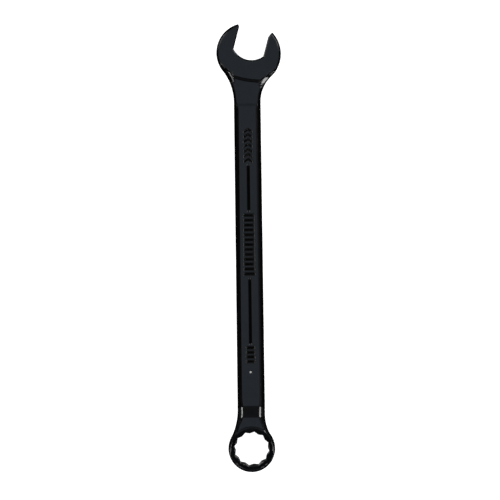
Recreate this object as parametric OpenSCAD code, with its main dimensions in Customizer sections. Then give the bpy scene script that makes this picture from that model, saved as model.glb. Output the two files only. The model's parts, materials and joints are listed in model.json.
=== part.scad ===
// Combination wrench for a 3/4 inch hexagon, forged in one piece: open jaws at one end, a
// twelve-point box at the other. Millimetres. The origin is the middle of the box opening,
// +Y runs along the shank to the jaws and +Z leaves the marked face. The three nodes are the
// forging's own regions; they meet face to face at two planes across the shank.

/* [Fit] */
// Hexagon that the wrench turns, across its flats
nut_size = 19.05; // [18.6:0.05:19.4]
// How much wider than the hexagon the jaws' opening is
jaw_clearance = 0.2; // [0.05:0.05:0.3]
// How much wider than the hexagon the box opening is
box_clearance = 0.4; // [0.2:0.05:0.6]

/* [Overall] */
// Distance from the middle of the box opening to the middle of the jaw head
centre_distance = 247.6; // [225:0.1:300]
// Angle that the box end is bent back from the shank
box_tilt = 5; // [3:0.5:7]

/* [Shank] */
// Width of the shank where it meets the open end
shank_w_open = 16.8; // [15.5:0.1:17]
// Width of the shank where it meets the box end
shank_w_box = 17.2; // [16.5:0.1:17.6]
// Thickness of the shank
shank_t = 7.6; // [7:0.1:8]
// Radius along the four edges of the shank
shank_edge = 3; // [2:0.1:3.2]
// Where the open end's flares start, measured back from the middle of the jaw head
open_neck = 30.2; // [29:0.1:32]
// Where the box end's flares start, measured from the middle of the box opening
box_neck = 25; // [24:0.5:28]

/* [Open end] */
// Thickness of the jaw head
head_t = 9.5; // [9:0.1:10]
// Turn of the jaws from the line of the shank
jaw_angle = 15; // [13:0.5:16]
// Outside radius of the long jaw
long_jaw_r = 18.6; // [18:0.05:19]
// Outside radius of the short jaw
short_jaw_r = 19.6; // [19:0.05:20]
// Radius of the throat between the jaws
throat_r = 12.6; // [12:0.1:13]
// Depth of the throat below the jaws' flats
throat_depth = 5.1; // [4.5:0.1:5.5]
// Radius round the rim of the jaw head
head_edge = 1.2; // [0.6:0.1:1.5]

/* [Box end] */
// Outside diameter of the ring
ring_od = 29.2; // [28.6:0.1:30]
// Thickness of the ring
ring_t = 11.5; // [11:0.1:12]
// Radius round the rim of the ring
ring_edge = 1.6; // [0.8:0.1:2]
// Turn of the twelve points from the line of the shank
point_turn = 21; // [0:1:30]
// How far the corners of the twelve points are rounded off
point_cut = 0.1; // [0.05:0.05:0.5]
// How far both mouths of the box opening widen past its teeth
lead_in = 0.6; // [0.3:0.1:1]
// Radius of the round seat that the marked face of the ring is faced off to
seat_r = 13; // [12.6:0.1:13.4]
// How far the pad between the shank and the ring stands proud of the shank
pad_rise = 1.8; // [1.5:0.1:2]
// Length of the slope from the shank up to the pad
pad_slope = 5.2; // [4:0.1:7]

/* [Marks] */
// Depth of every stamped mark
mark_depth = 0.4; // [0.2:0.05:0.6]
// Width of the two long grooves
groove_w = 1.5; // [1:0.1:2]
// Width of the strokes in the stamped bars and chevrons
stroke_w = 1; // [0.6:0.1:1.2]
// Length of the stamped bars, across the shank
bar_length = 6.2; // [5:0.1:7]

/* [Hidden] */
round_fn = 160;
small_fn = 48;
far = 60;
overlap = 1;
finish_black = [0.045, 0.047, 0.052];

jaw_w = nut_size + jaw_clearance;
box_w = nut_size + box_clearance;

// The bend: the shank's middle plane passes through the ring's at bend_run from its middle.
bend_run = 15.3;
shank_z = bend_run * sin(box_tilt);

// Middles of the two jaws' outside arcs, and the point on the jaws' centre line that is
// level with the inner ends of their flats.
long_jaw_c = [-0.4, centre_distance + 0.9];
short_jaw_c = [1.8, centre_distance + 0.1];
jaw_seat = [1.3, centre_distance + 1.5];
// Lead-in at each jaw's tip: its width across the gap, and where it starts and ends
// along it.
long_tip_w = 0.7;
long_tip_run = [13.7, 15];
short_tip_w = 1.4;
short_tip_run = [11.9, 14.9];

// Where the top of the pad starts to fall towards the ring, and the point inside the ring
// where it ends, as its place along the tool and its depth below the pad.
pad_end = 9;
pad_root = [4, 1.2];

open_neck_y = centre_distance - open_neck;

// Marks along the shank: [start, end] from the middle of the box opening.
groove_near_jaws = [149.5, 177.4];
groove_near_box = [66, 106.1];
chevrons = [181, 199.6];
chevron_count = 7;
bars = [109.6, 146.4];
bar_count = 13;
end_bars = [54.6, 63.2];
end_bar_count = 4;
dot_y = 47.9;
dot_r = 0.9;
chevron_rise = 1.5;

// Radius of the arc that leaves a straight edge at neck_y and touches a round head.
function flare_r(head_c, head_r, side, half_w, neck_y) =
    let (a = half_w - side * head_c[0], b = abs(head_c[1] - neck_y))
    (a * a + b * b - head_r * head_r) / (2 * (head_r - a));

// Point where such a flare touches the round head.
function touch(head_c, head_r, side, half_w, neck_y) =
    let (
        r = flare_r(head_c, head_r, side, half_w, neck_y),
        flare_c = [side * (half_w + r), neck_y]
    )
    head_c + (flare_c - head_c) * head_r / (head_r + r);

// Slab of thickness t on the middle plane of the shank.
module plate(t) translate([0, 0, shank_z - t / 2]) linear_extrude(t) children();

// Half of a round-edged section, x from 0 to half_w, standing on its middle line.
module half_section(half_w, t, edge) {
    translate([0, -t / 2]) square([half_w - edge, t]);
    translate([0, edge - t / 2]) square([half_w, t - 2 * edge]);
    for (side = [-1, 1])
        translate([half_w - edge, side * (t / 2 - edge)]) circle(r = edge, $fn = small_fn);
}

module rounded_disc(r, t, edge) rotate_extrude($fn = round_fn) half_section(r, t, edge);

// Takes the material off outside a concave flare of radius r and rounds its edges.
module flare_cut(r, t, edge) {
    rotate_extrude($fn = 2 * round_fn) difference() {
        translate([0, -far / 2]) square([r + edge, far]);
        translate([r, edge - t / 2]) square([2 * edge, t - 2 * edge]);
        for (side = [-1, 1])
            translate([r + edge, side * (t / 2 - edge)]) circle(r = edge, $fn = small_fn);
    }
}

// Both flares of a neck: heads is [centre, radius] of the round head on -X and on +X.
module flare_cuts(heads, half_w, neck_y) {
    for (side = [-1, 1]) {
        head = heads[side < 0 ? 0 : 1];
        r = flare_r(head[0], head[1], side, half_w, neck_y);
        translate([side * (half_w + r), neck_y, shank_z]) flare_cut(r, shank_t, shank_edge);
    }
}

// The jaws' gap in its own frame: +Y runs out between the jaws from jaw_seat.
module jaw_gap() {
    half = jaw_w / 2;
    throat_y = throat_r - throat_depth;
    flats_y = throat_y - sqrt(throat_r * throat_r - half * half);
    translate([-half, flats_y]) square([jaw_w, far]);
    intersection() {
        translate([0, throat_y]) circle(r = throat_r, $fn = round_fn);
        translate([-half, -throat_depth - overlap])
            square([jaw_w, flats_y + throat_depth + 2 * overlap]);
    }
    polygon([
        [0, 0],
        [half, short_tip_run[0]],
        [half + short_tip_w, short_tip_run[1]],
        [half + short_tip_w, far],
        [-half - long_tip_w, far],
        [-half - long_tip_w, long_tip_run[1]],
        [-half, long_tip_run[0]]
    ]);
}

// A double hexagon with its points rounded off to radius point_r.
module twelve_points(point_r) {
    intersection() {
        circle(r = point_r, $fn = round_fn);
        for (turn = [0, 30])
            rotate(point_turn + turn) circle(d = box_w / cos(30), $fn = 6);
    }
}

// Open jaws, the round head that carries them and the neck down to the shank.
module open_end() {
    half_w = shank_w_open / 2;
    heads = [[long_jaw_c, long_jaw_r], [short_jaw_c, short_jaw_r]];
    color(finish_black) difference() {
        union() {
            for (head = heads)
                translate([head[0][0], head[0][1], shank_z])
                    rounded_disc(head[1], head_t, head_edge);
            difference() {
                plate(shank_t) polygon([
                    [-half_w, open_neck_y],
                    [half_w, open_neck_y],
                    touch(short_jaw_c, short_jaw_r, 1, half_w, open_neck_y),
                    short_jaw_c,
                    long_jaw_c,
                    touch(long_jaw_c, long_jaw_r, -1, half_w, open_neck_y)
                ]);
                flare_cuts(heads, half_w, open_neck_y);
            }
        }
        plate(2 * head_t) translate(jaw_seat) rotate(-jaw_angle) jaw_gap();
    }
}

// One stamped stroke between two points on the marked face.
module stroke(from, to) {
    run = to - from;
    angle = atan2(run[1], run[0]);
    translate(from) rotate(angle) translate([0, -stroke_w / 2]) square([norm(run), stroke_w]);
    for (end = [from, to]) translate(end) circle(d = stroke_w, $fn = small_fn);
}

// Even places for count marks between the two ends of span.
function places(span, count) =
    [for (i = [0 : count - 1]) span[0] + (span[1] - span[0]) * i / (count - 1)];

module stamped_marks() {
    for (span = [groove_near_jaws, groove_near_box]) {
        translate([-groove_w / 2, span[0] + groove_w / 2])
            square([groove_w, span[1] - span[0] - groove_w]);
        for (y = [span[0] + groove_w / 2, span[1] - groove_w / 2])
            translate([0, y]) circle(d = groove_w, $fn = small_fn);
    }
    for (y = concat(places(bars, bar_count), places(end_bars, end_bar_count)))
        stroke([-bar_length / 2, y], [bar_length / 2, y]);
    for (y = places(chevrons, chevron_count), side = [-1, 1])
        stroke([side * bar_length / 2, y - chevron_rise / 2], [0, y + chevron_rise / 2]);
    translate([0, dot_y]) circle(r = dot_r, $fn = small_fn);
}

// Straight bar between the two necks, a little wider towards the box end.
module shank() {
    length = open_neck_y - box_neck;
    lean = atan((shank_w_box - shank_w_open) / 2 / length);
    color(finish_black) difference() {
        intersection() {
            for (side = [-1, 1])
                translate([side * shank_w_box / 2, box_neck, shank_z])
                    rotate([0, 0, side * lean]) rotate([90, 0, 0])
                        mirror([side < 0 ? 1 : 0, 0, 0])
                            translate([-shank_w_box / 2 - overlap, 0, -length - overlap])
                                linear_extrude(length + 2 * overlap)
                                    half_section(shank_w_box / 2 + overlap, shank_t, shank_edge);
            translate([-far / 2, box_neck, -far / 2]) cube([far, length, far]);
        }
        translate([0, 0, shank_z + shank_t / 2 - mark_depth])
            linear_extrude(shank_t) stamped_marks();
    }
}

// Side profile of the box end's neck, in Y and Z: the shank's thickness rises to the pad,
// which runs on into the ring.
module neck_profile() {
    mid = shank_z;
    half = shank_t / 2;
    pad = half + pad_rise;
    polygon([
        [box_neck, mid - half],
        [box_neck, mid + half],
        [box_neck - pad_slope, mid + pad],
        [pad_end, mid + pad],
        [pad_root[0], mid + pad - pad_root[1]],
        [pad_root[0], mid - pad],
        [box_neck - pad_slope, mid - pad]
    ]);
}

// Twelve-point ring, bent back from the shank, and the neck that carries it.
module box_end() {
    half_w = shank_w_box / 2;
    ring_r = ring_od / 2;
    ring = [[0, 0], ring_r];
    root = touch([0, 0], ring_r, 1, half_w, box_neck);
    point_r = box_w / cos(30) / 2 - point_cut;
    mouth_r = box_w / cos(15) / 2 + lead_in;
    mouth_depth = mouth_r - box_w / 2;
    color(finish_black) difference() {
        union() {
            rotate([box_tilt, 0, 0]) rounded_disc(ring_r, ring_t, ring_edge);
            difference() {
                intersection() {
                    translate([0, 0, -far / 2]) linear_extrude(far) polygon([
                        [-half_w, box_neck], [half_w, box_neck], root, [0, 0], [-root[0], root[1]]
                    ]);
                    translate([far / 2, 0, 0]) rotate([90, 0, -90]) mirror([1, 0, 0])
                        linear_extrude(far) neck_profile();
                }
                flare_cuts([ring, ring], half_w, box_neck);
            }
        }
        rotate([box_tilt, 0, 0]) {
            translate([0, 0, -far / 2]) linear_extrude(far) twelve_points(point_r);
            for (side = [-1, 1]) mirror([0, 0, side < 0 ? 1 : 0])
                translate([0, 0, ring_t / 2 - mouth_depth])
                    cylinder(h = mouth_depth + overlap, r1 = box_w / 2, r2 = mouth_r + overlap,
                        $fn = round_fn);
            translate([0, 0, ring_t / 2]) cylinder(h = far, r = seat_r, $fn = round_fn);
        }
    }
}

open_end();
shank();
box_end();
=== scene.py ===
"""Combination wrench in black industrial finish, seen from straight above its marked face.

The wrench is one forging, so its skin is one smooth field: a signed distance in millimetres
that each region of the tool adds to. Each region is meshed on a lattice, its vertices are
moved onto the field's zero surface, and the skin is cut and capped at the frame's two planes
across the shank, so the regions meet there face to face.
"""
import json
import math

import bmesh
import bpy
import numpy as np
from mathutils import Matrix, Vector


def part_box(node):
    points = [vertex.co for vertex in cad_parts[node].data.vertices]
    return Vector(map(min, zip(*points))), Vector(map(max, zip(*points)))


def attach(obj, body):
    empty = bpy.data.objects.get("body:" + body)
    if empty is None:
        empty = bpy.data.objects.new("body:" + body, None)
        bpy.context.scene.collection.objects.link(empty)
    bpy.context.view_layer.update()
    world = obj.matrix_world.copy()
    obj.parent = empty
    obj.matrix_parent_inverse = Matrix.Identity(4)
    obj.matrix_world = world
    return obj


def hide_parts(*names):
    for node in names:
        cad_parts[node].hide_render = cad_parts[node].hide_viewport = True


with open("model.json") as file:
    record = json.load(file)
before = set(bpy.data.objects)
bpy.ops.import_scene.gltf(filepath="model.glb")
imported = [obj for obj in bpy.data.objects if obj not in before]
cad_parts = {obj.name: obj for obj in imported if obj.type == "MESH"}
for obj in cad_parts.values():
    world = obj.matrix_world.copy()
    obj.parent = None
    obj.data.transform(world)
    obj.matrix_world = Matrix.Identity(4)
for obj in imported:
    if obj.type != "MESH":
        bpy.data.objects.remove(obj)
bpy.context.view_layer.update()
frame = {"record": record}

MM = 0.001


# ---------------------------------------------------------------- sizes from the frame

def box_mm(node):
    """A node's lowest and highest corners, in millimetres."""
    low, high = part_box(node)
    return np.array(low) / MM, np.array(high) / MM


mounts = {m["name"]: m for m in frame["record"]["mounts"]}
head_low, head_high = box_mm("open_end")
bar_low, bar_high = box_mm("shank")
ring_low, ring_high = box_mm("box_end")

mid_z = (bar_low[2] + bar_high[2]) / 2
bar_half_t = (bar_high[2] - bar_low[2]) / 2
head_half_t = (head_high[2] - head_low[2]) / 2
open_neck_y = bar_high[1]
box_neck_y = bar_low[1]
ring_r = (ring_high[0] - ring_low[0]) / 2
box_half_w = (bar_high[0] - bar_low[0]) / 2

ring_axis = mounts["box_opening"]["axis"]
tilt = math.atan2(-ring_axis[1], ring_axis[2])

# The jaws' own frame: u across the opening towards the short jaw, v out between the jaws. Its
# origin is the seat, a point on the opening's middle line this far in from the jaws' mount.
SEAT_TO_JAW_MOUNT = 5
# Half of what the box opening has over the jaws' gap.
BOX_CLEARANCE = 0.1
jaw_v = np.array(mounts["open_jaws"]["axis"][:2])
jaw_u = np.array([jaw_v[1], -jaw_v[0]])
jaw_mid = np.array(mounts["open_jaws"]["pos_m"][:2]) / MM
jaw_seat = jaw_mid - SEAT_TO_JAW_MOUNT * jaw_v
long_flat = np.array(mounts["long_jaw_flat"]["pos_m"][:2]) / MM
short_flat = np.array(mounts["short_jaw_flat"]["pos_m"][:2]) / MM
jaw_half = float((short_flat - long_flat) @ jaw_u) / 2
box_half = jaw_half + BOX_CLEARANCE

# ---------------------------------------------------------------- sizes of the forging

OPEN_HALF_W = 8.4
LONG_JAW_R = 18.6
SHORT_JAW_R = 19.6
# How far the middles of the jaws' round outlines lie below the seat, and how much further out
# the short jaw's lies than in the CAD.
LONG_JAW_DROP = 0.6
SHORT_JAW_DROP = 1.4
SHORT_JAW_OUT = 0.15
long_jaw_c = (head_low[0] + LONG_JAW_R, jaw_seat[1] - LONG_JAW_DROP)
short_jaw_c = (head_high[0] - SHORT_JAW_R + SHORT_JAW_OUT, jaw_seat[1] - SHORT_JAW_DROP)
THROAT_R = 12.6
THROAT_DEPTH = 5.1
# Lead-in at each tip: its width, and where it starts and ends along the jaws.
LONG_TIP = (0.7, 13.7, 15.0)
SHORT_TIP = (1.4, 11.9, 14.9)
LEAD_REACH = 2
OPENING_EDGE = 0.8

# Rounding of the long edges on either side, as (y, width seen from above, depth).
LEFT_EDGE = [
    (5.0, 2.3, 3.2), (13.0, 2.5, 3.2), (20.5, 4.1, 3.4), (34.0, 3.1, 3.0),
    (212.0, 3.1, 3.0), (219.0, 1.6, 2.8), (229.0, 1.6, 2.8), (231.5, 2.5, 3.2),
    (236.0, 2.5, 3.2), (245.0, 1.3, 4.2),
]
RIGHT_EDGE = [
    (5.0, 2.8, 3.4), (13.0, 3.1, 3.4), (21.0, 4.6, 3.4), (34.0, 3.5, 3.2),
    (212.0, 3.5, 3.2), (218.5, 2.2, 2.8), (226.3, 2.2, 2.8), (228.3, 1.1, 3.4),
    (232.0, 0.8, 3.8), (240.0, 1.3, 4.3),
]

# The step down from the coined face of the jaw head to the neck: a flat arc across the neck,
# and straight runs up to the rims, each given as a point on it, its slope as seen from above
# and how many times as steep the step is there. Then the rounding between them, and the
# step's width.
STEP_C = (10.4, 290.4)
STEP_R = 60.0
STEP_RIGHT = ((7.9, 230.4), 0.75, 2.4)
STEP_LEFT = ((-9.5, 235.2), -1.96, 2.6)
STEP_TOP = ((-13.2, 238.5), -0.75, 2.6)
STEP_CORNER = 1.2
STEP_W = 2.1
# The slanting facet under each end of the step: a point on its crease, the way it faces, the
# rounding of the crease, and where it dies away down and up the neck.
FACET_LEAN = math.radians(20.5)
FACETS = [
    ((8.5, 229.7), math.radians(-31), 1.0, (227.2, 229.2), (232.6, 234.2)),
    ((-9.86, 235.04), math.radians(207), 0.5, (229.6, 231.4), (237.2, 238.8)),
]
# The neck stands a little proud of the bar's panel.
NECK_RISE = 0.12
NECK_RISE_SPAN = (214.2, 217.2)

RING_HALF_T = 5.75
# The ring's rim on the neck's side and on the far side, width and depth, and where they meet.
RING_RIM = (1.1, 1.7)
RING_FAR_RIM = (0.6, 2.6)
RING_RIM_TURN = (-4.5, -1.5)
# The flare into the ring starts nearer to it on the right than on the left.
RIGHT_FLARE_Y = 21.0
# The marked side of the ring is faced off to a round seat.
SEAT_R = 13.0
SEAT_EDGE = 0.3
# The pad: its half thickness, the top and foot of the slope up to it, the rounding at both,
# and where and how far it falls away inside the ring.
PAD_HALF_T = 5.6
PAD_SLOPE = (19.9, 26.2)
PAD_EDGE = 0.25
PAD_FALL = (9.0, -4.0)
PAD_DROP = 2.2
# The neck ends inside the ring, with its end rounded off, and there is a fillet between them.
NECK_END = -6.0
NECK_END_EDGE = 1.0
NECK_BLEND = 0.6

# The twelve-point hole: how it is turned, how far its corners are cut back, the lead-in at
# its two mouths, and the rounding where that meets the points and where both meet the ring.
POINT_TURN = math.radians(21)
POINT_CUT = 0.1
MOUTH_LEAD = 0.6
MOUTH_EDGE = 0.2
POINT_EDGE = 0.3

# Marks are pressed with a sharp ridge: half its width at the face, and its depth. They are
# chevrons, bars and short end bars in rows, and long grooves.
CHEVRON = (0.62, 0.56)
STROKE = (0.80, 0.72)
GROOVE = (0.80, 0.65)
MARK_EDGE = 0.2
CHEVRON_W, CHEVRON_RISE = 4.6, 1.5
BAR_W = 5.6
END_BAR_W = 4.2
GROOVES = [(149.5, 177.4), (66.0, 106.1)]
CHEVRONS = np.linspace(181.0, 199.6, 7)
BARS = np.linspace(109.6, 146.4, 13)
END_BARS = np.linspace(54.6, 63.2, 4)
# The dot is a round pit with a slanting floor: its place, its radius and the way it faces. Its
# floor leans as the facets do.
DOT_Y = 47.9
DOT_R = 0.8
DOT_TURN = math.radians(-30)
# Further away than any mark reaches.
FAR = 9.0
# The stretches of the bar that a fine lattice is laid over, because their marks change along
# it. A groove between its ends doesn't.
MARKED = [(46.9, 48.9), (53.4, 67.0), (105.2, 150.4), (176.5, 201.2)]


# ---------------------------------------------------------------- fields

# A stretch of the tool that lies clear of the ring, the opening or the marks is worked out
# without them. This is how far past an end of the bar, to either side, that is decided.
PAST_NECK = 5


def blend_min(a, b, width):
    """Union of two fields, with a fillet about width wide where they meet."""
    h = np.clip(width - np.abs(a - b), 0, None) / width
    return np.minimum(a, b) - h * h * width / 4


def cut(a, b, width):
    """Field a with field b taken out of it, and the edge between them rounded."""
    return -blend_min(-a, b, width)


def ramp(x, low, high):
    """Smooth rise from 0 at low to 1 at high."""
    t = np.clip((x - low) / (high - low), 0, 1)
    return t * t * (3 - 2 * t)


def along(y, stations, column):
    """Value that eases from one station's figure to the next, by their y."""
    value = stations[0][column]
    for (low, *before), (high, *after) in zip(stations, stations[1:]):
        value = value + (after[column - 1] - before[column - 1]) * ramp(y, low, high)
    return value


def plate(plan, height, half_t, width, depth=None):
    """Plate of the given plan and half thickness, its rim rounded width across, depth down."""
    depth = width if depth is None else depth
    across = (plan + width) * depth / width
    up = np.abs(height) - half_t + depth
    outside = np.hypot(np.maximum(across, 0), np.maximum(up, 0))
    return outside + np.minimum(np.maximum(across, up), 0) - depth


def segment(x, y, start, end):
    """Distance from the straight line between two points."""
    dx, dy = end[0] - start[0], end[1] - start[1]
    t = ((x - start[0]) * dx + (y - start[1]) * dy) / (dx * dx + dy * dy)
    t = np.clip(t, 0, 1)
    return np.hypot(x - start[0] - t * dx, y - start[1] - t * dy)


def flank(x, y, side, half_w, edge_line, neck_y, centre, radius):
    """One side of an end: the bar's straight edge, then a hollow flare, then a round head."""
    cx, cy = centre
    outward = 1 if cy > neck_y else -1
    a = half_w - side * cx
    b = abs(cy - neck_y)
    flare = (a * a + b * b - radius * radius) / (2 * (radius - a))
    fx = side * (half_w + flare)
    turn = (cx - fx) * (y - neck_y) - (cy - neck_y) * (x - fx)
    hollow = flare - np.hypot(x - fx, y - neck_y)
    head = np.hypot(x - cx, y - cy) - radius
    past_neck = np.where(side * outward * turn > 0, hollow, head)
    return np.where(outward * (y - neck_y) < 0, side * x - edge_line, past_neck)


def outline(x, y):
    """The forging seen from above, without its openings."""
    share = np.clip((y - box_neck_y) / (open_neck_y - box_neck_y), 0, 1)
    edge_line = box_half_w + share * (OPEN_HALF_W - box_half_w)
    middle = (open_neck_y + box_neck_y) / 2
    sides = []
    for side, centre, radius in ((-1, long_jaw_c, LONG_JAW_R), (1, short_jaw_c, SHORT_JAW_R)):
        jaw = flank(x, y, side, OPEN_HALF_W, edge_line, open_neck_y, centre, radius)
        flare_y = box_neck_y if side < 0 else RIGHT_FLARE_Y
        ring = flank(x, y, side, box_half_w, edge_line, flare_y, (0, 0), ring_r)
        sides.append(np.where(y > middle, jaw, ring))
    return np.where(x < 0, sides[0], sides[1])


def coined(x, y):
    """1 on the coined face of the jaw head, 0 on the neck, and the step between them."""
    right, left, top = [
        (y - start[1] - slope * (x - start[0])) / math.hypot(1, slope) * steep
        for start, slope, steep in (STEP_RIGHT, STEP_LEFT, STEP_TOP)
    ]
    inside = blend_min(STEP_R - np.hypot(x - STEP_C[0], y - STEP_C[1]), right, STEP_CORNER)
    inside = blend_min(inside, np.maximum(left, top), STEP_CORNER)
    return ramp(inside, -STEP_W / 2, STEP_W / 2)


def facets(x, y):
    """How far the slanting facets lie under the neck's face."""
    drop = 0 * x
    for (at_x, at_y), turn, crease, start, end in FACETS:
        out = (x - at_x) * math.cos(turn) + (y - at_y) * math.sin(turn)
        span = ramp(y, *start) * (1 - ramp(y, *end))
        drop = drop - blend_min(-out, 0 * out, crease) * math.tan(FACET_LEAN) * span
    return drop


def half_thickness(x, y):
    """Bar, neck and jaw head, and the pad that rises to the ring and dies away beyond it."""
    top, foot = PAD_SLOPE
    rise = PAD_HALF_T - bar_half_t
    pad = blend_min(rise * (foot - y) / (foot - top), rise, PAD_EDGE)
    pad = -blend_min(-pad, 0 * y, PAD_EDGE)
    neck = bar_half_t + NECK_RISE * ramp(y, *NECK_RISE_SPAN) + pad - PAD_DROP * ramp(y, *PAD_FALL)
    neck = neck - facets(x, y)
    return neck + coined(x, y) * (head_half_t - neck)


def jaw_gap(x, y):
    """The opening between the jaws, with its round throat and the lead-in at both tips."""
    dx, dy = x - jaw_seat[0], y - jaw_seat[1]
    u = dx * jaw_u[0] + dy * jaw_u[1]
    v = dx * jaw_v[0] + dy * jaw_v[1]
    throat_v = THROAT_R - THROAT_DEPTH
    throat = np.hypot(u, v - throat_v) - THROAT_R
    flats = np.abs(u) - jaw_half
    gap = np.where(v < 0, np.maximum(throat, flats), flats)
    for side, (width, start, end) in ((-1, LONG_TIP), (1, SHORT_TIP)):
        run = math.hypot(width, end - start)
        lead = ((side * u - jaw_half) * (end - start) - (v - start) * width) / run
        gap = np.where((side * u > 0) & (v > start - LEAD_REACH), np.minimum(gap, lead), gap)
    return gap


def twelve_points(x, y):
    """Two hexagons turned 30 degrees from each other, their corners rounded off."""
    fields = []
    for turn in (POINT_TURN, POINT_TURN + math.pi / 6):
        flats = [
            np.abs(x * math.cos(turn + k * math.pi / 3) + y * math.sin(turn + k * math.pi / 3))
            for k in range(3)
        ]
        fields.append(np.maximum(np.maximum(flats[0], flats[1]), flats[2]) - box_half)
    point_r = box_half / math.cos(math.pi / 6) - POINT_CUT
    return np.maximum(np.minimum(*fields), np.hypot(x, y) - point_r)


def segment_row(x, y, half_w, places, rise=0.0):
    """Distance from a row of strokes across the bar, whose middles lie rise further along it
    than their ends."""
    field = np.full_like(x, FAR)
    for at in places:
        foot, tip = (-half_w, at - rise / 2), (0, at + rise / 2)
        field = np.minimum(field, segment(-np.abs(x), y, foot, tip))
    return field


def ridge(distance, height, half_w, depth):
    """Wedge that stands on its edge, half_w from its middle to its side at height 0."""
    return (distance * depth - (height + depth) * half_w) / math.hypot(half_w, depth)


def marks(x, y, height):
    """Every mark pressed into the bar's face; height is measured from that face."""
    strokes = np.minimum(segment_row(x, y, BAR_W / 2, BARS),
                         segment_row(x, y, END_BAR_W / 2, END_BARS))
    chevrons = segment_row(x, y, CHEVRON_W / 2, CHEVRONS, CHEVRON_RISE)
    grooves = np.full_like(x, FAR)
    for low, high in GROOVES:
        grooves = np.minimum(grooves, segment(x, y, (0, low), (0, high)))
    pressed = np.minimum(ridge(strokes, height, *STROKE), ridge(chevrons, height, *CHEVRON))
    pressed = np.minimum(pressed, ridge(grooves, height, *GROOVE))
    out = x * math.cos(DOT_TURN) + (y - DOT_Y) * math.sin(DOT_TURN)
    floor_z = -(out + DOT_R) * math.tan(FACET_LEAN)
    wall = np.hypot(x, y - DOT_Y) - DOT_R
    dot = np.maximum(wall, (floor_z - height) * math.cos(FACET_LEAN))
    return np.minimum(pressed, dot)


def ring_frame(y, z):
    """Y and Z in the ring's own frame, which is bent back from the bar's."""
    c, s = math.cos(tilt), math.sin(tilt)
    return y * c + z * s, z * c - y * s


def with_ring(body, x, y, z):
    """The body with the ring on its end, the ring's round seat and its twelve-point hole."""
    ry, rz = ring_frame(y, z)
    radius = np.hypot(x, ry)
    body = -blend_min(-body, -(NECK_END - y), NECK_END_EDGE)
    turn = ramp(ry, *RING_RIM_TURN)
    rim = [far + turn * (near - far) for near, far in zip(RING_RIM, RING_FAR_RIM)]
    body = blend_min(body, plate(radius - ring_r, rz, RING_HALF_T, *rim), NECK_BLEND)
    body = cut(body, np.maximum(radius - SEAT_R, RING_HALF_T - rz), SEAT_EDGE)
    mouth_r = box_half / math.cos(math.pi / 12) + MOUTH_LEAD
    mouth = (radius - mouth_r + RING_HALF_T - np.abs(rz)) / math.sqrt(2)
    return cut(body, blend_min(twelve_points(x, ry), mouth, MOUTH_EDGE), POINT_EDGE)


def wrench(x, y, z):
    """Signed distance to the whole forging's skin, in millimetres."""
    height = z - mid_z
    width = np.where(x < 0, along(y, LEFT_EDGE, 1), along(y, RIGHT_EDGE, 1))
    depth = np.where(x < 0, along(y, LEFT_EDGE, 2), along(y, RIGHT_EDGE, 2))
    body = plate(outline(x, y), height, half_thickness(x, y), width, depth)
    top, bottom = y.max(), y.min()
    if bottom < box_neck_y + PAST_NECK:
        body = with_ring(body, x, y, z)
    if top > open_neck_y + PAST_NECK:
        body = np.where(y > open_neck_y, cut(body, jaw_gap(x, y), OPENING_EDGE), body)
    if top > DOT_Y - DOT_R and bottom < open_neck_y - PAST_NECK:
        body = cut(body, marks(x, y, height - bar_half_t), MARK_EDGE)
    return body


# ---------------------------------------------------------------- meshing

LATTICE = 0.25
# Lattice step along the bar, away from its ends and its marks.
COARSE = 1.0
# Room that the lattice leaves round what it meshes.
MARGIN = 1
# Rows along Y whose field is worked out at one time.
CHUNK_ROWS = 32
# A cell's corners, and its edges as pairs of corners.
CORNERS = [(c & 1, c >> 1 & 1, c >> 2 & 1) for c in range(8)]
CELL_EDGES = [(a, b) for a in range(8) for b in range(a + 1, 8) if bin(a ^ b).count("1") == 1]

# Reach of the field's slope, the least squared slope that a step divides by, the longest step
# in lattice steps, and a length that is as good as none.
SLOPE_REACH = 0.02
LEAST_SLOPE = 0.05
LONGEST_STEP = 0.5
SETTLE_PASSES = 4
TINY = 1e-9

# How near to a plane a vertex counts as on it, and how near and how square a cap's face is.
ON_PLANE = 1e-5
CAP_REACH = 1e-3
CAP_FACING = 0.99


def lattice(low, high):
    """Lattice lines on whole steps that take in low and high with two to spare."""
    return LATTICE * np.arange(math.floor(low / LATTICE) - 2, math.ceil(high / LATTICE) + 3)


def around(low, high):
    """Lattice lines that take in low and high and the margin round them."""
    return lattice(low - MARGIN, high + MARGIN)


def surface_net(xs, ys, zs):
    """Quads on the field's zero surface, one vertex in each lattice cell that it crosses."""
    grid = np.empty((len(xs), len(ys), len(zs)))
    for i in range(0, len(ys), CHUNK_ROWS):
        part = np.meshgrid(xs, ys[i:i + CHUNK_ROWS], zs, indexing="ij")
        grid[:, i:i + CHUNK_ROWS] = wrench(*part)
    inside = grid < 0
    count = sum(
        inside[a:a + len(xs) - 1, b:b + len(ys) - 1, c:c + len(zs) - 1].astype(np.int8)
        for a, b, c in CORNERS
    )
    cells = np.argwhere((count > 0) & (count < 8))
    index = np.full(count.shape, -1)
    index[tuple(cells.T)] = np.arange(len(cells))
    points = cell_points(grid, cells, (xs, ys, zs))
    quads = crossing_quads(inside, index)
    return points, quads[(quads >= 0).all(1)][:, ::-1]


def cell_points(grid, cells, lines):
    """The middle of each cell's crossings, the points where its edges meet the surface."""
    values = [grid[tuple((cells + c).T)] for c in CORNERS]
    total = np.zeros((len(cells), 3))
    crossed = np.zeros((len(cells), 1))
    for a, b in CELL_EDGES:
        fa, fb = values[a], values[b]
        hit = (fa < 0) != (fb < 0)
        t = np.where(hit, fa / np.where(hit, fa - fb, 1), 0)[:, None]
        total += hit[:, None] * ((1 - t) * CORNERS[a] + t * CORNERS[b])
        crossed += hit[:, None]
    local = total / crossed
    points = np.empty_like(local)
    for axis, line in enumerate(lines):
        at = cells[:, axis]
        points[:, axis] = line[at] + local[:, axis] * (line[at + 1] - line[at])
    return points


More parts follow.
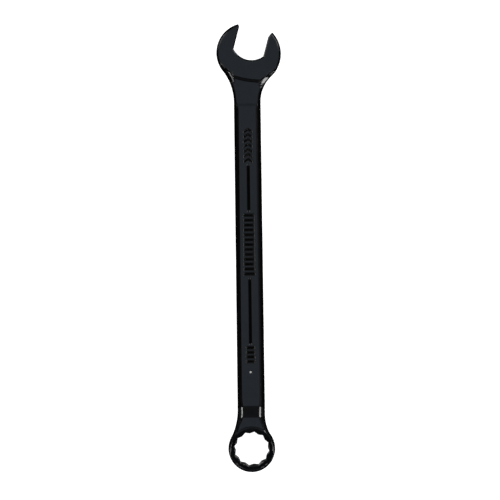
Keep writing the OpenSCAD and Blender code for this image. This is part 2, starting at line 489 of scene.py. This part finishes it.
def crossing_quads(inside, index):
    """One quad round each lattice edge that crosses the surface, from the four cells on it."""
    quads = []
    for axis, (one, two) in enumerate(((1, 2), (2, 0), (0, 1))):
        first = np.take(inside, range(inside.shape[axis] - 1), axis)
        second = np.take(inside, range(1, inside.shape[axis]), axis)
        at = np.argwhere(first != second)
        at = at[(at[:, one] > 0) & (at[:, two] > 0)]
        at = at[(at[:, one] < index.shape[one]) & (at[:, two] < index.shape[two])]
        outward = first[tuple(at.T)]
        ring = []
        for d1, d2 in ((1, 1), (0, 1), (0, 0), (1, 0)):
            cell = at.copy()
            cell[:, one] -= d1
            cell[:, two] -= d2
            ring.append(index[tuple(cell.T)])
        ring = np.stack(ring, 1)
        ring[outward] = ring[outward][:, ::-1]
        quads.append(ring)
    return np.concatenate(quads)


def gradient(points):
    """The field's slope at each point."""
    slope = np.empty_like(points)
    for axis in range(3):
        step = np.zeros(3)
        step[axis] = SLOPE_REACH
        slope[:, axis] = wrench(*(points + step).T) - wrench(*(points - step).T)
    return slope / (2 * SLOPE_REACH)


def settle(points):
    """Moves each point along the field's slope onto the surface."""
    for _ in range(SETTLE_PASSES):
        slope = gradient(points)
        size = np.clip((slope * slope).sum(1), LEAST_SLOPE, None)
        step = (wrench(*points.T) / size)[:, None] * slope
        length = np.linalg.norm(step, axis=1, keepdims=True)
        points = points - step * np.minimum(1, LONGEST_STEP * LATTICE / np.maximum(length, TINY))
    return points


def region(name, node, xs, ys, zs, y_low=None, y_high=None):
    """Closed piece of the skin between the planes y_low and y_high."""
    points, quads = surface_net(xs, ys, zs)
    points = settle(points)
    mesh = bpy.data.meshes.new(name)
    mesh.from_pydata(points.tolist(), [], quads.tolist())
    skin = bmesh.new()
    skin.from_mesh(mesh)
    for y, direction in ((y_low, -1), (y_high, 1)):
        if y is None:
            continue
        found = bmesh.ops.bisect_plane(
            skin, geom=skin.verts[:] + skin.edges[:] + skin.faces[:], dist=ON_PLANE,
            plane_co=(0, y, 0), plane_no=(0, direction, 0), clear_outer=True)
        rim = [e for e in found["geom_cut"] if isinstance(e, bmesh.types.BMEdge)]
        caps = bmesh.ops.contextual_create(skin, geom=rim)["faces"]
        bmesh.ops.triangulate(skin, faces=caps)
    bmesh.ops.recalc_face_normals(skin, faces=skin.faces[:])
    skin.to_mesh(mesh)
    skin.free()
    finish_mesh(mesh, [y for y in (y_low, y_high) if y is not None])
    piece = bpy.data.objects.new(name, mesh)
    bpy.context.scene.collection.objects.link(piece)
    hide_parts(node)
    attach(piece, "root")
    return piece


def finish_mesh(mesh, planes):
    """Gives the mesh the field's own normals, flat on the caps, and turns it into metres."""
    count = len(mesh.vertices)
    points = np.empty(count * 3)
    mesh.vertices.foreach_get("co", points)
    points = points.reshape(-1, 3)
    normals = gradient(points)
    normals /= np.maximum(np.linalg.norm(normals, axis=1, keepdims=True), TINY)
    corners = np.empty(len(mesh.loops), int)
    mesh.loops.foreach_get("vertex_index", corners)
    split = normals[corners]
    for face in mesh.polygons:
        on_plane = any(abs(face.center.y - y) < CAP_REACH for y in planes)
        if on_plane and abs(face.normal.y) > CAP_FACING:
            split[face.loop_start:face.loop_start + face.loop_total] = face.normal
    mesh.vertices.foreach_set("co", (points * MM).ravel())
    mesh.polygons.foreach_set("use_smooth", np.ones(len(mesh.polygons), bool))
    mesh.normals_split_custom_set(split.tolist())
    mesh.update()


bar_ys = np.unique(np.concatenate([
    around(box_neck_y, box_neck_y),
    around(open_neck_y, open_neck_y),
    *[lattice(low, high) for low, high in MARKED],
    np.arange(math.ceil(box_neck_y + 2 * MARGIN), open_neck_y - 2 * MARGIN, COARSE),
]))

open_end = region(
    "open_end_forging", "open_end", around(head_low[0], head_high[0]),
    around(open_neck_y, head_high[1]), around(head_low[2], head_high[2]), y_low=open_neck_y)
shank = region(
    "shank_forging", "shank", around(bar_low[0], bar_high[0]),
    bar_ys, around(bar_low[2], bar_high[2]), y_low=box_neck_y, y_high=open_neck_y)
box_end = region(
    "box_end_forging", "box_end", around(ring_low[0], ring_high[0]),
    around(ring_low[1], box_neck_y), around(ring_low[2], ring_high[2]), y_high=box_neck_y)


# ---------------------------------------------------------------- materials

BLACK, WHITE = (0, 0, 0), (1, 1, 1)


def grey(level):
    return (level, level, level)


def link(tree, source, target):
    tree.links.new(source, target)


def colour_ramp(tree, source, stops):
    """Colours that run from stop to stop, each given as its place from 0 to 1 and its colour."""
    node = tree.nodes.new("ShaderNodeValToRGB")
    while len(node.color_ramp.elements) < len(stops):
        node.color_ramp.elements.new(0.5)
    for element, (at, colour) in zip(node.color_ramp.elements, stops):
        element.position = at
        element.color = (*colour, 1)
    link(tree, source, node.inputs["Fac"])
    return node.outputs["Color"]


def black_finish():
    """Glossy black industrial finish over a forged skin."""
    material = bpy.data.materials.new("black_finish")
    material.use_nodes = True
    tree = material.node_tree
    shader = tree.nodes["Principled BSDF"]
    shader.inputs["IOR"].default_value = 1.5
    place = tree.nodes.new("ShaderNodeTexCoord")

    def noise(scale, detail, rough=0.5):
        node = tree.nodes.new("ShaderNodeTexNoise")
        node.inputs["Scale"].default_value = scale
        node.inputs["Detail"].default_value = detail
        node.inputs["Roughness"].default_value = rough
        link(tree, place.outputs["Object"], node.inputs["Vector"])
        return node.outputs["Fac"]

    def bump(height, strength, distance):
        node = tree.nodes.new("ShaderNodeBump")
        node.inputs["Strength"].default_value = strength
        node.inputs["Distance"].default_value = distance
        link(tree, height, node.inputs["Height"])
        return node

    tint = colour_ramp(tree, noise(scale=120, detail=4), [
        (0.3, (0.0006, 0.0006, 0.0007)), (0.7, (0.0012, 0.0012, 0.0014))])
    link(tree, tint, shader.inputs["Base Color"])
    wear = colour_ramp(tree, noise(scale=260, detail=6, rough=0.6), [
        (0.35, grey(0.10)), (0.7, grey(0.15))])
    link(tree, wear, shader.inputs["Roughness"])

    coarse = bump(noise(scale=170, detail=3), strength=0.05, distance=0.0006)
    fine = bump(noise(scale=900, detail=3), strength=0.05, distance=0.0002)
    link(tree, coarse.outputs["Normal"], fine.inputs["Normal"])
    link(tree, fine.outputs["Normal"], shader.inputs["Normal"])
    return material


def pale_paper():
    """The floor's plain pale surface, bright enough to hold hardly any shadow."""
    material = bpy.data.materials.new("paper")
    material.use_nodes = True
    sockets = material.node_tree.nodes["Principled BSDF"].inputs
    sockets["Base Color"].default_value = (*grey(0.9), 1)
    sockets["Roughness"].default_value = 1
    sockets["Emission Color"].default_value = (*WHITE, 1)
    sockets["Emission Strength"].default_value = 0.85
    return material


finish = black_finish()
for piece in (open_end, shank, box_end):
    piece.data.materials.clear()
    piece.data.materials.append(finish)

# ---------------------------------------------------------------- stage, lights and camera

# What the camera takes in: its width and its middle in metres, and its turn.
VIEW_WIDTH = 0.31375
VIEW_CENTRE = (0.0005, 0.1246)
VIEW_ROLL = math.radians(0.76)
CAMERA_DISTANCE = 8.0
CLIP_END = 100
SENSOR = 36.0

face_z = bar_high[2] * MM
camera = bpy.data.objects.new("camera", bpy.data.cameras.new("camera"))
camera.data.sensor_width = SENSOR
camera.data.lens = SENSOR * CAMERA_DISTANCE / VIEW_WIDTH
camera.data.clip_end = CLIP_END
camera.location = (*VIEW_CENTRE, face_z + CAMERA_DISTANCE)
camera.rotation_euler = (0, 0, -VIEW_ROLL)
bpy.context.scene.collection.objects.link(camera)
bpy.context.scene.camera = camera

# The floor lies just under the ring's back rim and the jaw head's back, as a table would, so it
# slants: its low and high lines are given as (y, z), in millimetres.
FLOOR_SIZE = 30
FLOOR_GAP = 0.02
RIM_INSET = 2
floor_low = (ring_low[1] + RIM_INSET, ring_low[2] - FLOOR_GAP)
floor_high = (head_high[1], head_low[2] - FLOOR_GAP)
slope = (floor_high[1] - floor_low[1]) / (floor_high[0] - floor_low[0])
bpy.ops.mesh.primitive_plane_add(size=FLOOR_SIZE)
floor = bpy.context.object
floor.name = "floor"
floor.location = (0, 0, (floor_low[1] - floor_low[0] * slope) * MM)
floor.rotation_euler = (math.atan(slope), 0, 0)
floor.data.materials.append(pale_paper())
# Reflections show the studio and not the floor.
floor.visible_glossy = False

LAMP_DISTANCE = 1.5
LAMP_SIZE = 0.5
LAMP_RADIANCE = 10.0
# Each lamp's name, and the X and Y of the direction that it stands in.
LAMPS = [
    ("lamp_left_near", -0.53, -0.355),
    ("lamp_right_near", 0.53, -0.355),
    ("lamp_left_far", -0.46, 0.345),
    ("lamp_right_far", 0.46, 0.345),
]


def lamp(name, x, y):
    """Round soft box that faces the tool from the direction whose X and Y are given."""
    light = bpy.data.lights.new(name, "AREA")
    light.shape = "DISK"
    light.size = LAMP_SIZE
    light.energy = LAMP_RADIANCE * math.pi * math.pi * LAMP_SIZE * LAMP_SIZE / 4
    towards = Vector((x, y, math.sqrt(1 - x * x - y * y)))
    target = Vector((0, VIEW_CENTRE[1], 0))
    holder = bpy.data.objects.new(name, light)
    holder.location = target + LAMP_DISTANCE * towards
    holder.rotation_euler = towards.to_track_quat("Z", "Y").to_euler()
    bpy.context.scene.collection.objects.link(holder)


for place in LAMPS:
    lamp(*place)


def studio():
    """A dark room for the black finish to mirror: a bluish panel straight overhead, glows on
    the right and beyond both ends, a faint low band all round that is brighter past the two
    ends, and a light table below, which the walls of the box opening mirror."""
    world = bpy.data.worlds.new("studio")
    world.use_nodes = True
    tree = world.node_tree
    place = tree.nodes.new("ShaderNodeTexCoord")
    split = tree.nodes.new("ShaderNodeSeparateXYZ")
    link(tree, place.outputs["Generated"], split.inputs["Vector"])

    def glow(axis, stops):
        span = tree.nodes.new("ShaderNodeMapRange")
        span.inputs["From Min"].default_value = -1
        span.inputs["From Max"].default_value = 1
        link(tree, split.outputs[axis], span.inputs["Value"])
        shares = [((at + 1) / 2, colour) for at, colour in stops]
        return colour_ramp(tree, span.outputs["Result"], shares)

    def mix(kind, one, two):
        node = tree.nodes.new("ShaderNodeMix")
        node.data_type = "RGBA"
        node.blend_type = kind
        node.inputs["Factor"].default_value = 1
        link(tree, one, node.inputs["A"])
        link(tree, two, node.inputs["B"])
        return node.outputs["Result"]

    overhead = glow("Z", [(0.988, grey(0.004)), (0.9945, (0.44, 0.52, 0.62))])

    table = mix(
        "MULTIPLY",
        glow("Z", [(-0.97, grey(0.3)), (-0.93, BLACK)]),
        glow("Y", [(0.01, BLACK), (0.03, WHITE), (0.09, WHITE), (0.14, grey(0.1))]))

    upper = glow("Z", [(-0.1, BLACK), (0.1, WHITE)])
    right = glow("X", [
        (0.08, BLACK), (0.2, (0.24, 0.25, 0.27)), (0.45, (0.16, 0.16, 0.17)),
        (0.8, grey(0.03)), (1.0, grey(0.01))])
    past_ends = glow("Y", [
        (-1.0, grey(0.02)), (-0.85, (0.11, 0.11, 0.12)), (-0.7, (0.11, 0.11, 0.12)),
        (-0.5, BLACK), (0.12, BLACK), (0.3, (0.13, 0.14, 0.15)), (0.5, (0.13, 0.14, 0.15)),
        (0.65, BLACK)])
    sides = mix("MULTIPLY", upper, mix("LIGHTEN", right, past_ends))

    band = mix(
        "MULTIPLY",
        glow("Z", [(0.2, BLACK), (0.26, WHITE), (0.4, WHITE), (0.46, BLACK)]),
        glow("Y", [(-0.9, grey(0.4)), (-0.8, grey(0.03)), (0.8, grey(0.03)), (0.9, grey(0.4))]))

    room = mix("ADD", mix("ADD", overhead, table), mix("LIGHTEN", sides, band))
    link(tree, room, tree.nodes["Background"].inputs["Color"])
    bpy.context.scene.world = world


studio()
bpy.context.scene.view_settings.view_transform = "Standard"
